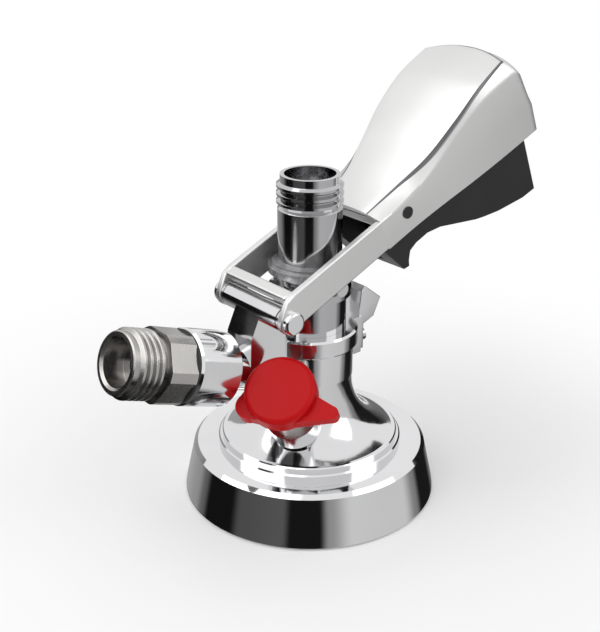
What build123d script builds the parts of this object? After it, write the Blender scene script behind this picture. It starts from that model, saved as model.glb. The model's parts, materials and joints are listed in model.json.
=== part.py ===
from build123d import *
import os
from math import cos, radians, sin, sqrt

# Keg coupler: a chromed bell that locks on the keg neck, a body with a side gas inlet and a relief
# valve, a sliding beer probe, and a hinged lever with a black grip that pushes the probe down.
# Millimetres. Z is up through the probe, the origin is on the floor under it, the lever points to +X
# and the gas inlet to -X.

# ---- driving dimensions ------------------------------------------------------------------------
FIT = 0.05            # radial clearance of a running fit
GAP = 0.4             # clearance between pieces that move past each other

BELL_R = 46.0         # bell ring at the floor
BELL_TOP_R = 42.3     # bell ring at its shoulder
BELL_HEIGHT = 19.0
BELL_CHAMFER = 1.4
SOCKET_R = 36.0       # keg socket inside the bell
SOCKET_DEPTH = 14.0
LUG_R = 31.5          # free radius between the bayonet lugs
LUG_ANGLE = 38.0
LUG_BOTTOM = 1.5
LUG_HEIGHT = 5.0
SPIGOT_R = 29.0       # spigot of the body in the bell ring

STEP_R = 33.2         # first step ring of the body on the bell
STEP_HEIGHT = 2.4
STEP_TWO_R = 31.8
STEP_TWO_HEIGHT = 2.0
DOME_R = 30.2
DOME_TOP = 46.0       # where the flare meets the cylinder
CYLINDER_R = 15.5
COLLAR_R = 17.0
COLLAR_BOTTOM = 57.0
COLLAR_TOP = 63.5
BORE_R = 12.8         # probe bore
BORE_BOTTOM = 30.0
CAVITY_R = 15.0       # counterbore under the probe bore
SEAL_BORE_R = 11.5
SEAL_FLANGE_R = 22.0
SEAL_LIP = 3.5        # rubber that stands below the body
SEAL_NECK = 6.0

PROBE_R = 9.0         # beer tube below the piston
PROBE_TIP = 14.0      # height of the tube's lower end with the handle up
TIP_SEAT_R = 7.6
TIP_SEAT = 4.5
PROBE_SEAL_R = 10.4
PISTON_BOTTOM = 58.0
FLANGE_BOTTOM = 76.0  # drive flange that the lever's pins press on
FLANGE_THICKNESS = 2.6
FLANGE_R = 14.5
NECK_R = 11.1
LIFT_RING = 2.4
CLIP_THICKNESS = 1.2
THREAD_BOTTOM = 107.2
PROBE_TOP = 118.2
THREAD_R = 11.45      # G5/8 outlet and inlet threads
THREAD_CORE_R = 10.2
OUTLET_PITCH = 2.75
OUTLET_R = 8.8
OUTLET_DEPTH = 14.0
BEER_R = 6.0
BEER_SEAT_R = 4.0
BALL_R = 5.2
BALL_LIFT = 4.0

HINGE_X = -23.0
HINGE_Z = 76.3
HINGE_PIN_R = 2.5
BARREL_R = 4.2
BRACKET_HALF = 6.5
ARM_OUTER = 18.0      # half width over the lever's two arms
ARM_THICKNESS = 2.5
LEVER_ANGLE = 23.4    # lever above level with the handle up
LEVER_LOW = 3.3       # lever's lower edge below the hinge line
HOOD_START = 46.0
HOOD_END = 131.0
HOOD_WALL = 1.8
DRIVE_PIN_R = 2.5
DRIVE_PIN_BITE = 1.5

TRIGGER_U, TRIGGER_W = 58.0, 3.9   # grip pivot in the lever's own frame
TRIGGER_PIN_R = 2.15
GRIP_REAR_HALF = 17.4
GRIP_WALL = 2.4
CATCH_HALF = 6.0

INLET_ANGLE = 20.0
INLET_RISE = 44.0     # height where the inlet's axis meets the probe's
INLET_NECK_R = 7.0
BOSS_R = 12.75
BOSS_START, BOSS_END = 42.0, 59.5
SOCKET_START = 47.0
ADAPTER_R = 8.9
HEX_FLATS = 23.0
WASHER_THICKNESS = 0.9
HEX_END, INLET_THREAD_START, INLET_END = 70.5, 72.3, 83.6
INLET_MOUTH_R = 7.7
INLET_PITCH = 2.26
POPPET_R = 5.4
POPPET_CHAMBER_R = 6.5

RELIEF_AZIMUTH = 214.2
RELIEF_TILT = 50.0
KNOB_DISTANCE = 38.0  # knob face centre from the probe's axis
KNOB_HEIGHT = 56.6
KNOB_R = 12.0
KNOB_THICKNESS = 7.0
WING_THICKNESS = 4.0
HOUSING_R = 7.0

# ---- places that follow from them ---------------------------------------------------------------
STEP_TOP = BELL_HEIGHT + STEP_HEIGHT + STEP_TWO_HEIGHT
GROOVE_BOTTOM = FLANGE_BOTTOM + FLANGE_THICKNESS
GROOVE_HEIGHT = 2 * DRIVE_PIN_R + 0.6
LIFT_BOTTOM = GROOVE_BOTTOM + GROOVE_HEIGHT
DRIVE_Z = GROOVE_BOTTOM + GROOVE_HEIGHT / 2
LIFT_TOP = LIFT_BOTTOM + LIFT_RING
ARM_INNER = ARM_OUTER - ARM_THICKNESS
GRIP_FRONT_HALF = ARM_INNER - GAP
BALL_Z = PROBE_TIP + 6.0 + sqrt(BALL_R**2 - BEER_SEAT_R**2) + 0.1

ALONG = Vector(cos(radians(LEVER_ANGLE)), 0, sin(radians(LEVER_ANGLE)))
ABOVE = Vector(-ALONG.Z, 0, ALONG.X)
HINGE = Vector(HINGE_X, 0, HINGE_Z)
lever_side = Plane(origin=HINGE, x_dir=ALONG, z_dir=(0, -1, 0))
lever_plan = Plane(origin=HINGE, x_dir=ALONG, z_dir=ABOVE)

INLET = Vector(-cos(radians(INLET_ANGLE)), 0, sin(radians(INLET_ANGLE)))


def inlet_plane(distance):
    """Plane square to the inlet's axis, at a distance from the probe's axis."""
    return Plane(origin=Vector(0, 0, INLET_RISE) + INLET * distance, x_dir=(0, 1, 0), z_dir=INLET)


azimuth, tilt = radians(RELIEF_AZIMUTH), radians(RELIEF_TILT)
RELIEF = Vector(cos(tilt) * cos(azimuth), cos(tilt) * sin(azimuth), sin(tilt))
KNOB_FACE = Vector(KNOB_DISTANCE * cos(azimuth), KNOB_DISTANCE * sin(azimuth), KNOB_HEIGHT)


def relief_plane(depth):
    """Plane square to the relief valve's axis, at a depth below the knob's face."""
    return Plane(origin=KNOB_FACE - RELIEF * depth, x_dir=(-sin(azimuth), cos(azimuth), 0), z_dir=RELIEF)


def half_section(points, plane=Plane.XZ):
    """Closed outline of (radius, height) points, ready to be turned."""
    with BuildSketch(plane) as outline:
        with BuildLine():
            Polyline(*points, close=True)
        make_face()
    return outline.sketch


def turn(points, mode=Mode.ADD):
    """Turn an outline of (radius, height) points about the probe's axis."""
    revolve(half_section(points), axis=Axis.Z, mode=mode)


def rod(plane, radius, length, mode=Mode.ADD):
    """Round bar from a plane, along the plane's normal."""
    with BuildSketch(plane) as end:
        Circle(radius)
    extrude(end.sketch, amount=length, mode=mode)


def tube(plane, outer, inner, length, mode=Mode.ADD):
    """Round tube from a plane, along the plane's normal."""
    with BuildSketch(plane) as end:
        Circle(outer)
        Circle(inner, mode=Mode.SUBTRACT)
    extrude(end.sketch, amount=length, mode=mode)


def ridge_points(start, end, pitch):
    """Crests and roots of a coarse rolled thread between two heights."""
    count = int((end - start) / pitch)
    points = []
    for turn_number in range(count):
        foot = start + turn_number * pitch
        points += [
            (THREAD_CORE_R, foot),
            (THREAD_R, foot + 0.30 * pitch),
            (THREAD_R, foot + 0.62 * pitch),
            (THREAD_CORE_R, foot + 0.92 * pitch),
        ]
    return points


def coil(plane, radius, wire, length, turns):
    """Compression spring: a round wire swept along a helix from a plane."""
    height = length - 2 * wire
    with BuildLine() as path:
        Helix(pitch=height / turns, height=height, radius=radius)
    helix = plane.location * Location((0, 0, wire)) * path.line
    with BuildSketch(Plane(origin=helix @ 0, z_dir=helix % 0)) as section:
        Circle(wire)
    sweep(section.sketch, path=helix)


finished = []


def finish(part, label):
    """Name a piece and keep it for export."""
    part.label = label
    finished.append(part)


# ---- bell ring ----------------------------------------------------------------------------------
with BuildPart() as bell_ring:
    turn([
        (SOCKET_R, 0), (BELL_R - 0.6, 0), (BELL_R, 0.8),
        (BELL_TOP_R, BELL_HEIGHT - BELL_CHAMFER), (BELL_TOP_R - BELL_CHAMFER, BELL_HEIGHT),
        (SPIGOT_R, BELL_HEIGHT), (SPIGOT_R, SOCKET_DEPTH), (SOCKET_R, SOCKET_DEPTH),
    ])
    for middle in (0, 180):
        start = radians(middle - LUG_ANGLE / 2)
        lug_section = half_section(
            [(LUG_R, LUG_BOTTOM), (SOCKET_R + 1, LUG_BOTTOM), (SOCKET_R + 1, LUG_BOTTOM + LUG_HEIGHT),
             (LUG_R, LUG_BOTTOM + LUG_HEIGHT)],
            Plane(origin=(0, 0, 0), x_dir=(cos(start), sin(start), 0), z_dir=(sin(start), -cos(start), 0)),
        )
        revolve(lug_section, axis=Axis.Z, revolution_arc=LUG_ANGLE)
finish(bell_ring.part, "bell_ring")

# ---- body ---------------------------------------------------------------------------------------
FLARE_R = 21.0        # radius of the dome's hollow flare
with BuildPart() as body:
    with BuildSketch(Plane.XZ) as shell:
        with BuildLine():
            Polyline(
                (DOME_R, STEP_TOP), (STEP_TWO_R - 0.4, STEP_TOP), (STEP_TWO_R, STEP_TOP - 0.4),
                (STEP_TWO_R, BELL_HEIGHT + STEP_HEIGHT), (STEP_R - 0.5, BELL_HEIGHT + STEP_HEIGHT),
                (STEP_R, BELL_HEIGHT + STEP_HEIGHT - 0.5), (STEP_R, BELL_HEIGHT),
                (SPIGOT_R, BELL_HEIGHT), (SPIGOT_R, SOCKET_DEPTH), (CAVITY_R, SOCKET_DEPTH),
                (CAVITY_R, BORE_BOTTOM), (BORE_R, BORE_BOTTOM), (BORE_R, COLLAR_TOP),
                (COLLAR_R - 0.7, COLLAR_TOP), (COLLAR_R, COLLAR_TOP - 0.7), (COLLAR_R, COLLAR_BOTTOM + 0.7),
                (COLLAR_R - 0.7, COLLAR_BOTTOM), (CYLINDER_R, COLLAR_BOTTOM), (CYLINDER_R, DOME_TOP),
            )
            RadiusArc((CYLINDER_R, DOME_TOP), (DOME_R, STEP_TOP), -FLARE_R)
        make_face()
    revolve(axis=Axis.Z)
    rod(inlet_plane(CYLINDER_R - 4), INLET_NECK_R, BOSS_START - CYLINDER_R + 5)
    rod(inlet_plane(BOSS_START), BOSS_R, BOSS_END - BOSS_START)
    chamfer(body.edges().filter_by(GeomType.CIRCLE).filter_by(
        lambda edge: abs(edge.radius - BOSS_R) < 0.01), length=1.0)
    rod(relief_plane(31), HOUSING_R + 2.2, 9.0)
    # hinge bracket, its barrel between the lever's arms, and the pad of the catch plate
    with BuildSketch(Plane.XZ) as bracket:
        with BuildLine():
            Polyline(
                (HINGE_X - 8.5, 56), (HINGE_X - 8, 68), (HINGE_X - BARREL_R + 0.1, HINGE_Z),
                (HINGE_X + BARREL_R - 0.1, HINGE_Z), (HINGE_X + 4.8, 71.5),
                (-CYLINDER_R, COLLAR_TOP), (-CYLINDER_R + 1.5, 50), close=True,
            )
        make_face()
    extrude(bracket.sketch, amount=BRACKET_HALF, both=True)
    rod(Plane(origin=(HINGE_X, ARM_INNER - 1.4, HINGE_Z), z_dir=(0, -1, 0)), BARREL_R, 2 * (ARM_INNER - 1.4))
    with BuildSketch(Plane.XY.offset(49.5)) as pad:
        with Locations((CYLINDER_R, 0)):
            Rectangle(6.0, 2 * CATCH_HALF + 2)
    extrude(pad.sketch, amount=COLLAR_TOP - 49.5)
    # bores
    rod(Plane.XY.offset(BORE_BOTTOM), BORE_R, COLLAR_TOP, mode=Mode.SUBTRACT)
    rod(Plane.XY.offset(SOCKET_DEPTH), CAVITY_R, BORE_BOTTOM - SOCKET_DEPTH, mode=Mode.SUBTRACT)
    rod(inlet_plane(SOCKET_START), ADAPTER_R, BOSS_END, mode=Mode.SUBTRACT)
    rod(inlet_plane(BORE_R - 3), 4.5, SOCKET_START, mode=Mode.SUBTRACT)
    rod(relief_plane(26.5), HOUSING_R, 20, mode=Mode.SUBTRACT)
    rod(relief_plane(34), 2.0, 9, mode=Mode.SUBTRACT)
    rod(Plane(origin=(HINGE_X, 40, HINGE_Z), z_dir=(0, -1, 0)), HINGE_PIN_R + FIT, 80, mode=Mode.SUBTRACT)
    tube(Plane.XY.offset(59.4), 14.3, BORE_R - 1, 2.2, mode=Mode.SUBTRACT)
    tube(Plane.XY.offset(24.0), CAVITY_R + 0.9, CAVITY_R - 1, 1.3, mode=Mode.SUBTRACT)
    for side in (-1, 1):
        rod(Plane(origin=(CYLINDER_R + 3, side * 3.4, 54.5), z_dir=(-1, 0, 0)), 1.25, 4, mode=Mode.SUBTRACT)
finish(body.part, "body")

# ---- seals, bush and clip inside the body --------------------------------------------------------
with BuildPart() as body_seal:
    turn([
        (SEAL_BORE_R, SOCKET_DEPTH - SEAL_LIP + 1), (SEAL_BORE_R + 1, SOCKET_DEPTH - SEAL_LIP),
        (SEAL_FLANGE_R - 1, SOCKET_DEPTH - SEAL_LIP), (SEAL_FLANGE_R, SOCKET_DEPTH - SEAL_LIP + 1),
        (SEAL_FLANGE_R, SOCKET_DEPTH), (CAVITY_R, SOCKET_DEPTH),
        (CAVITY_R, SOCKET_DEPTH + SEAL_NECK), (SEAL_BORE_R, SOCKET_DEPTH + SEAL_NECK),
    ])
finish(body_seal.part, "body_seal")

with BuildPart() as guide_bush:
    turn([
        (PROBE_R + FIT, 25.4), (CAVITY_R - FIT, 25.4), (CAVITY_R - FIT, BORE_BOTTOM),
        (BORE_R - FIT, BORE_BOTTOM), (BORE_R - FIT, 36.5), (PROBE_R + FIT, 36.5),
    ])
    with PolarLocations(BORE_R - 1.2, 6):
        Cylinder(1.6, 40, align=(Align.CENTER, Align.CENTER, Align.MIN), mode=Mode.SUBTRACT)
finish(guide_bush.part, "guide_bush")

with BuildPart() as bush_circlip:
    tube(Plane.XY.offset(24.1), CAVITY_R + 0.8, CAVITY_R - 1.6, 1.1)
    with Locations((CAVITY_R, 0, 24.6)):
        Box(6, 5, 4, mode=Mode.SUBTRACT)
finish(bush_circlip.part, "bush_circlip")

with BuildPart() as gland_seal:
    tube(Plane.XY.offset(59.5), 14.25, BORE_R - 0.05 + 0.02, 2.0)
finish(gland_seal.part, "gland_seal")

# ---- probe, its seals, rings and check ball ------------------------------------------------------
PISTON_R = BORE_R - FIT
with BuildPart() as probe:
    outer = [
        (TIP_SEAT_R, PROBE_TIP), (TIP_SEAT_R, PROBE_TIP + TIP_SEAT), (PROBE_R, PROBE_TIP + TIP_SEAT),
        (PROBE_R, PISTON_BOTTOM), (PISTON_R - 0.8, PISTON_BOTTOM), (PISTON_R, PISTON_BOTTOM + 0.8),
        (PISTON_R, FLANGE_BOTTOM), (FLANGE_R, FLANGE_BOTTOM), (FLANGE_R, GROOVE_BOTTOM),
        (NECK_R, GROOVE_BOTTOM), (NECK_R, LIFT_TOP), (NECK_R - 0.7, LIFT_TOP),
        (NECK_R - 0.7, LIFT_TOP + CLIP_THICKNESS), (NECK_R, LIFT_TOP + CLIP_THICKNESS),
        (NECK_R, THREAD_BOTTOM - 0.8), (THREAD_CORE_R, THREAD_BOTTOM),
    ]
    inner = [
        (THREAD_CORE_R, PROBE_TOP), (OUTLET_R, PROBE_TOP), (OUTLET_R, PROBE_TOP - OUTLET_DEPTH),
        (BEER_R, PROBE_TOP - OUTLET_DEPTH - 3), (BEER_R, PROBE_TIP + 8), (BEER_SEAT_R, PROBE_TIP + 6),
        (BEER_SEAT_R, PROBE_TIP),
    ]
    turn(outer + ridge_points(THREAD_BOTTOM + 0.4, PROBE_TOP, OUTLET_PITCH)[1:] + inner)
finish(probe.part, "probe")

with BuildPart() as tip_retainer:
    turn([
        (TIP_SEAT_R - 1.4, PROBE_TIP - 1.6), (PROBE_R, PROBE_TIP - 1.6), (PROBE_R + 0.3, PROBE_TIP - 1.2),
        (PROBE_R + 0.3, PROBE_TIP), (TIP_SEAT_R - 1.4, PROBE_TIP),
    ])
finish(tip_retainer.part, "tip_retainer")

with BuildPart() as probe_seal:
    turn([
        (TIP_SEAT_R, PROBE_TIP), (PROBE_SEAL_R - 0.8, PROBE_TIP), (PROBE_SEAL_R, PROBE_TIP + 1.2),
        (PROBE_SEAL_R, PROBE_TIP + TIP_SEAT - 0.8), (PROBE_SEAL_R - 0.8, PROBE_TIP + TIP_SEAT),
        (TIP_SEAT_R, PROBE_TIP + TIP_SEAT),
    ])
finish(probe_seal.part, "probe_seal")

with BuildPart() as check_ball:
    with Locations((0, 0, BALL_Z)):
        Sphere(BALL_R)
finish(check_ball.part, "check_ball")

with BuildPart() as ball_stop:
    tube(Plane.XY.offset(BALL_Z + BALL_R + BALL_LIFT + GAP), BEER_R, BEER_R - 2.2, 3)
finish(ball_stop.part, "ball_stop")

with BuildPart() as lift_ring:
    tube(Plane.XY.offset(LIFT_BOTTOM), FLANGE_R, NECK_R, LIFT_RING)
finish(lift_ring.part, "lift_ring")

with BuildPart() as lift_clip:
    tube(Plane.XY.offset(LIFT_TOP), NECK_R + 2.0, NECK_R - 0.7, CLIP_THICKNESS)
    with Locations((NECK_R + 1, 0, LIFT_TOP)):
        Box(6, 4, 4, mode=Mode.SUBTRACT)
finish(lift_clip.part, "lift_clip")

# ---- lever --------------------------------------------------------------------------------------
# Cross sections of the hood: place along the lever, half width at the foot, height of the side's
# knee, half width and height of the top's edge.
HOOD_SECTIONS = [
    (HOOD_START, ARM_OUTER, 8.3, 11.0, 9.9),
    (60.0, ARM_OUTER, 8.8, 12.5, 12.0),
    (74.0, ARM_OUTER + 0.7, 12.0, 16.6, 16.0),
    (88.0, ARM_OUTER + 2.0, 18.6, 19.4, 22.0),
    (104.0, ARM_OUTER + 2.9, 24.6, 20.2, 27.6),
    (HOOD_END + 5, ARM_OUTER + 3.3, 27.6, 20.6, 31.0),
]


def hood_solid(inset, foot):
    """The hood's closed form, trimmed to its rounded end."""
    with BuildPart() as form:
        sections = []
        for u, foot_half, knee, top_half, top in HOOD_SECTIONS:
            side, lid = foot_half - inset, top_half - inset * 0.7
            with BuildSketch(Plane(origin=HINGE + ALONG * u, x_dir=(0, 1, 0), z_dir=ALONG)) as section:
                with BuildLine():
                    Polyline(
                        (-side, foot), (side, foot), (side, knee - inset * 0.6), (lid, top - inset),
                        (-lid, top - inset), (-side, knee - inset * 0.6), close=True,
                    )
                make_face()
            sections.append(section.sketch)
        loft(sections, ruled=True)
        # rounded end in plan
        end = HOOD_END - inset
        with BuildSketch(lever_plan) as plan:
            with BuildLine():
                Line((0, -30), (end - 7, -30))
                Line((end - 7, -30), (end - 7, -ARM_OUTER - 4))
                ThreePointArc((end - 7, -ARM_OUTER - 4), (end, 0), (end - 7, ARM_OUTER + 4))
                Line((end - 7, ARM_OUTER + 4), (end - 7, 30))
                Line((end - 7, 30), (0, 30))
                Line((0, 30), (0, -30))
            make_face()
        extrude(plan.sketch, amount=60, both=True, mode=Mode.INTERSECT)
        # rounded end in side view
        with BuildSketch(lever_side) as side_view:
            with BuildLine():
                Polyline((0, 40), (0, -20), (end, -20), (end, 8))
                ThreePointArc((end, 8), (end - 2.4, 20), (end - 11, 31 - inset))
                Line((end - 11, 31 - inset), (end - 20, 40))
                Line((end - 20, 40), (0, 40))
            make_face()
        extrude(side_view.sketch, amount=60, both=True, mode=Mode.INTERSECT)
    return form.part


with BuildPart() as lever:
    add(hood_solid(0, -LEVER_LOW))
    add(hood_solid(HOOD_WALL, -LEVER_LOW - 20), mode=Mode.SUBTRACT)
    with BuildSketch(lever_side) as arm_side:
        with BuildLine():
            Polyline(
                (0, -LEVER_LOW), (HOOD_START + 1.5, -LEVER_LOW), (HOOD_START + 1.5, 8.35),
                (HOOD_START, 8.3), (4, 8.3), (-3.6, 2.2), close=True,
            )
        make_face()
        Circle(HINGE_PIN_R + 1.9)
    extrude(arm_side.sketch, amount=ARM_OUTER, both=True)
    with BuildSketch(lever_side) as between:
        with Locations((HOOD_START / 2 - 10, 0)):
            Rectangle(HOOD_START + 20, 40)
    extrude(between.sketch, amount=ARM_INNER, both=True, mode=Mode.SUBTRACT)
    with BuildSketch(lever_side) as web:
        with Locations((3.8, 6.6)):
            RectangleRounded(4.4, 3.0, 0.8)
    extrude(web.sketch, amount=ARM_INNER + 0.5, both=True)
    with BuildSketch(lever_side) as mouth:
        with Locations((HOOD_START, 0)):
            Rectangle(6, 2 * (8.3 - HOOD_WALL))
    extrude(mouth.sketch, amount=ARM_INNER, both=True, mode=Mode.SUBTRACT)
    rod(Plane(origin=(HINGE_X, 40, HINGE_Z), z_dir=(0, -1, 0)), HINGE_PIN_R, 80, mode=Mode.SUBTRACT)
    drive_depth = ARM_INNER + DRIVE_PIN_BITE
    rod(Plane(origin=(0, drive_depth, DRIVE_Z), z_dir=(0, -1, 0)), DRIVE_PIN_R, 2 * drive_depth,
        mode=Mode.SUBTRACT)
    with BuildSketch(lever_side) as trigger_hole:
        with Locations((TRIGGER_U, TRIGGER_W)):
            Circle(TRIGGER_PIN_R)
    extrude(trigger_hole.sketch, amount=40, both=True, mode=Mode.SUBTRACT)
finish(lever.part, "lever")

with BuildPart() as hinge_pin:
    rod(Plane(origin=(HINGE_X, ARM_OUTER + 1.6, HINGE_Z), z_dir=(0, -1, 0)), HINGE_PIN_R,
        2 * ARM_OUTER + 1.6)
    rod(Plane(origin=(HINGE_X, -ARM_OUTER, HINGE_Z), z_dir=(0, -1, 0)), 3.9, 2.2)
    fillet(hinge_pin.faces().sort_by(Axis.Y)[0].edges(), radius=1.2)
finish(hinge_pin.part, "hinge_pin")

with BuildPart() as hinge_cap:
    rod(Plane(origin=(HINGE_X, ARM_OUTER, HINGE_Z), z_dir=(0, 1, 0)), 3.9, 2.2)
    fillet(hinge_cap.faces().sort_by(Axis.Y)[-1].edges(), radius=1.2)
    rod(Plane(origin=(HINGE_X, ARM_OUTER - 1, HINGE_Z), z_dir=(0, 1, 0)), HINGE_PIN_R, 2.6, mode=Mode.SUBTRACT)
finish(hinge_cap.part, "hinge_cap")

with BuildPart() as hinge_washers:
    for side in (-1, 1):
        tube(Plane(origin=(HINGE_X, side * ARM_INNER, HINGE_Z), z_dir=(0, -side, 0)), BARREL_R - 0.1,
             HINGE_PIN_R, 1.0)
finish(hinge_washers.part, "hinge_washers")

with BuildPart() as drive_pins:
    for side in (-1, 1):
        rod(Plane(origin=(0, side * drive_depth, DRIVE_Z), z_dir=(0, -side, 0)), DRIVE_PIN_R,
            drive_depth - NECK_R - GAP - 0.1)
finish(drive_pins.part, "drive_pins")

# ---- grip, which is the latch trigger -------------------------------------------------------------
GRIP_OUTLINE = [
    (44.8, -3.6), (47.5, 0.0), (52.0, 7.0), (63.5, 7.0), (68.0, 2.0), (127.0, 2.0), (127.4, -8.0),
    (125.2, -26.0), (122.6, -28.4), (113.0, -27.8), (99.6, -24.6), (88.0, -20.6), (80.0, -16.8),
    (72.0, -13.0), (66.0, -11.6), (60.0, -11.6), (56.4, -12.6), (54.6, -15.6), (54.0, -17.8), (51.4, -17.4),
]
GRIP_HOLLOW = [
    (59.0, -9.0), (66.5, -9.2), (73.0, -10.6), (81.0, -14.4), (89.0, -18.2), (100.2, -22.2),
    (113.4, -25.3), (121.4, -25.9), (123.2, -24.6), (125.0, -8.0), (125.0, 12.0), (59.0, 12.0),
]
with BuildPart() as grip:
    with BuildSketch(lever_side) as grip_side:
        with BuildLine():
            Polyline(*GRIP_OUTLINE, close=True)
        make_face()
    extrude(grip_side.sketch, amount=30, both=True)
    with BuildSketch(lever_plan) as grip_plan:
        with BuildLine():
            Polyline((40, -GRIP_FRONT_HALF), (66, -GRIP_FRONT_HALF), (92, -GRIP_REAR_HALF), (120, -GRIP_REAR_HALF))
            ThreePointArc((120, -GRIP_REAR_HALF), (127.6, 0), (120, GRIP_REAR_HALF))
            Polyline((120, GRIP_REAR_HALF), (92, GRIP_REAR_HALF), (66, GRIP_FRONT_HALF), (40, GRIP_FRONT_HALF))
            Line((40, GRIP_FRONT_HALF), (40, -GRIP_FRONT_HALF))
        make_face()
    extrude(grip_plan.sketch, amount=40, both=True, mode=Mode.INTERSECT)
    with BuildSketch(lever_side) as grip_inside:
        with BuildLine():
            Polyline(*GRIP_HOLLOW, close=True)
        make_face()
    extrude(grip_inside.sketch, amount=GRIP_FRONT_HALF - GRIP_WALL, both=True, mode=Mode.SUBTRACT)
    # slot that the catch plate enters when the handle is down, above the latch bar
    with BuildSketch(lever_side) as slot:
        with BuildLine():
            Polyline((40, 12), (40, -14.6), (56.6, -14.6), (56.6, -9), (61, -9), (61, 12), close=True)
        make_face()
    extrude(slot.sketch, amount=CATCH_HALF + 1.0, both=True, mode=Mode.SUBTRACT)
    with BuildSketch(lever_side) as grip_hole:
        with Locations((TRIGGER_U, TRIGGER_W)):
            Circle(TRIGGER_PIN_R + FIT)
    extrude(grip_hole.sketch, amount=40, both=True, mode=Mode.SUBTRACT)
finish(grip.part, "grip")

with BuildPart() as grip_pin:
    with BuildSketch(lever_side) as grip_pin_end:
        with Locations((TRIGGER_U, TRIGGER_W)):
            Circle(TRIGGER_PIN_R)
    extrude(grip_pin_end.sketch, amount=ARM_OUTER + 0.4, both=True)
finish(grip_pin.part, "grip_pin")

SPRING_U = 71.0
with BuildPart() as grip_spring:
    coil(Plane(origin=HINGE + ALONG * SPRING_U + ABOVE * -9.3, x_dir=(0, 1, 0), z_dir=ABOVE), 3.4, 0.5, 21.0, 8)
finish(grip_spring.part, "grip_spring")

# ---- catch plate ---------------------------------------------------------------------------------
PAD_X = CYLINDER_R + 3.0
with BuildPart() as catch_plate:
    with BuildSketch(Plane.XZ) as catch_side:
        with BuildLine():
            Polyline(
                (PAD_X, 50.0), (PAD_X + 2.2, 50.0), (PAD_X + 2.2, 59.5), (25.6, 61.4), (28.9, 68.0),
                (21.0, 74.2), (PAD_X + 0.8, 72.4), (PAD_X, 66.0), close=True,
            )
        make_face()
    extrude(catch_side.sketch, amount=CATCH_HALF, both=True)
    for side in (-1, 1):
        rod(Plane(origin=(PAD_X + 5, side * 3.4, 54.5), z_dir=(-1, 0, 0)), 1.5, 8, mode=Mode.SUBTRACT)
finish(catch_plate.part, "catch_plate")

with BuildPart() as catch_screws:
    for side in (-1, 1):
        rod(Plane(origin=(PAD_X + 2.2, side * 3.4, 54.5), z_dir=(1, 0, 0)), 2.5, 1.5)
        with BuildSketch(Plane(origin=(PAD_X + 3.7, side * 3.4, 54.5), z_dir=(-1, 0, 0))) as recess:
            RegularPolygon(1.2, 6)
        extrude(recess.sketch, amount=0.9, mode=Mode.SUBTRACT)
        rod(Plane(origin=(PAD_X + 2.2, side * 3.4, 54.5), z_dir=(-1, 0, 0)), 1.25, 5.6)
finish(catch_screws.part, "catch_screws")

# ---- gas inlet -----------------------------------------------------------------------------------
inlet_section = Plane(
    origin=(0, 0, INLET_RISE), x_dir=(sin(radians(INLET_ANGLE)), 0, cos(radians(INLET_ANGLE))), z_dir=(0, -1, 0)
)
inlet_axis = Axis((0, 0, INLET_RISE), INLET)
HEX_START = BOSS_END + WASHER_THICKNESS
with BuildPart() as gas_inlet:
    rod(inlet_plane(SOCKET_START + 0.2), ADAPTER_R, HEX_START - SOCKET_START)
    with BuildSketch(inlet_plane(HEX_START)) as hexagon:
        RegularPolygon(HEX_FLATS / 2, 6, major_radius=False)
        Circle(HEX_FLATS / 2 + 0.9, mode=Mode.INTERSECT)
    extrude(hexagon.sketch, amount=HEX_END - HEX_START)
    ridges = [(0, HEX_END - 1), (9.6, HEX_END - 1), (9.6, INLET_THREAD_START)]
    ridges += ridge_points(INLET_THREAD_START, INLET_END - 0.2, INLET_PITCH)
    ridges += [(THREAD_CORE_R, INLET_END - 0.4), (THREAD_CORE_R - 0.4, INLET_END), (0, INLET_END)]
    revolve(half_section(ridges, inlet_section), axis=inlet_axis)
    bore = [
        (0, SOCKET_START - 1), (POPPET_CHAMBER_R, SOCKET_START - 1), (POPPET_CHAMBER_R, 74.0),
        (4.2, 74.0), (4.2, 75.2), (INLET_MOUTH_R, 75.2), (INLET_MOUTH_R, INLET_END - 0.8),
        (INLET_MOUTH_R + 0.8, INLET_END), (INLET_MOUTH_R + 0.8, INLET_END + 2), (0, INLET_END + 2),
    ]
    revolve(half_section(bore, inlet_section), axis=inlet_axis, mode=Mode.SUBTRACT)
finish(gas_inlet.part, "gas_inlet")

with BuildPart() as inlet_washer:
    tube(inlet_plane(BOSS_END), BOSS_R - 0.5, ADAPTER_R, WASHER_THICKNESS)
finish(inlet_washer.part, "inlet_washer")

POPPET_FACE = 73.9
with BuildPart() as gas_poppet:
    rod(inlet_plane(POPPET_FACE - 2.6), POPPET_R, 1.4)
    rod(inlet_plane(POPPET_FACE - 14), 1.7, 12.4)
finish(gas_poppet.part, "gas_poppet")

with BuildPart() as poppet_seal:
    tube(inlet_plane(POPPET_FACE - 1.2), POPPET_R, 1.7, 1.1)
    rod(inlet_plane(POPPET_FACE - 1.2), 1.7, 1.1)
finish(poppet_seal.part, "poppet_seal")

SPIDER_TOP = 60.0
with BuildPart() as poppet_spider:
    tube(inlet_plane(SPIDER_TOP - 2), POPPET_CHAMBER_R, 1.7 + FIT, 2)
    with BuildSketch(inlet_plane(SPIDER_TOP - 3)) as ports:
        with PolarLocations(4.1, 4):
            Circle(1.5)
    extrude(ports.sketch, amount=4, mode=Mode.SUBTRACT)
finish(poppet_spider.part, "poppet_spider")

with BuildPart() as poppet_spring:
    coil(inlet_plane(SPIDER_TOP + 0.05), 3.2, 0.4, POPPET_FACE - 2.7 - SPIDER_TOP, 5)
finish(poppet_spring.part, "poppet_spring")

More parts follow.
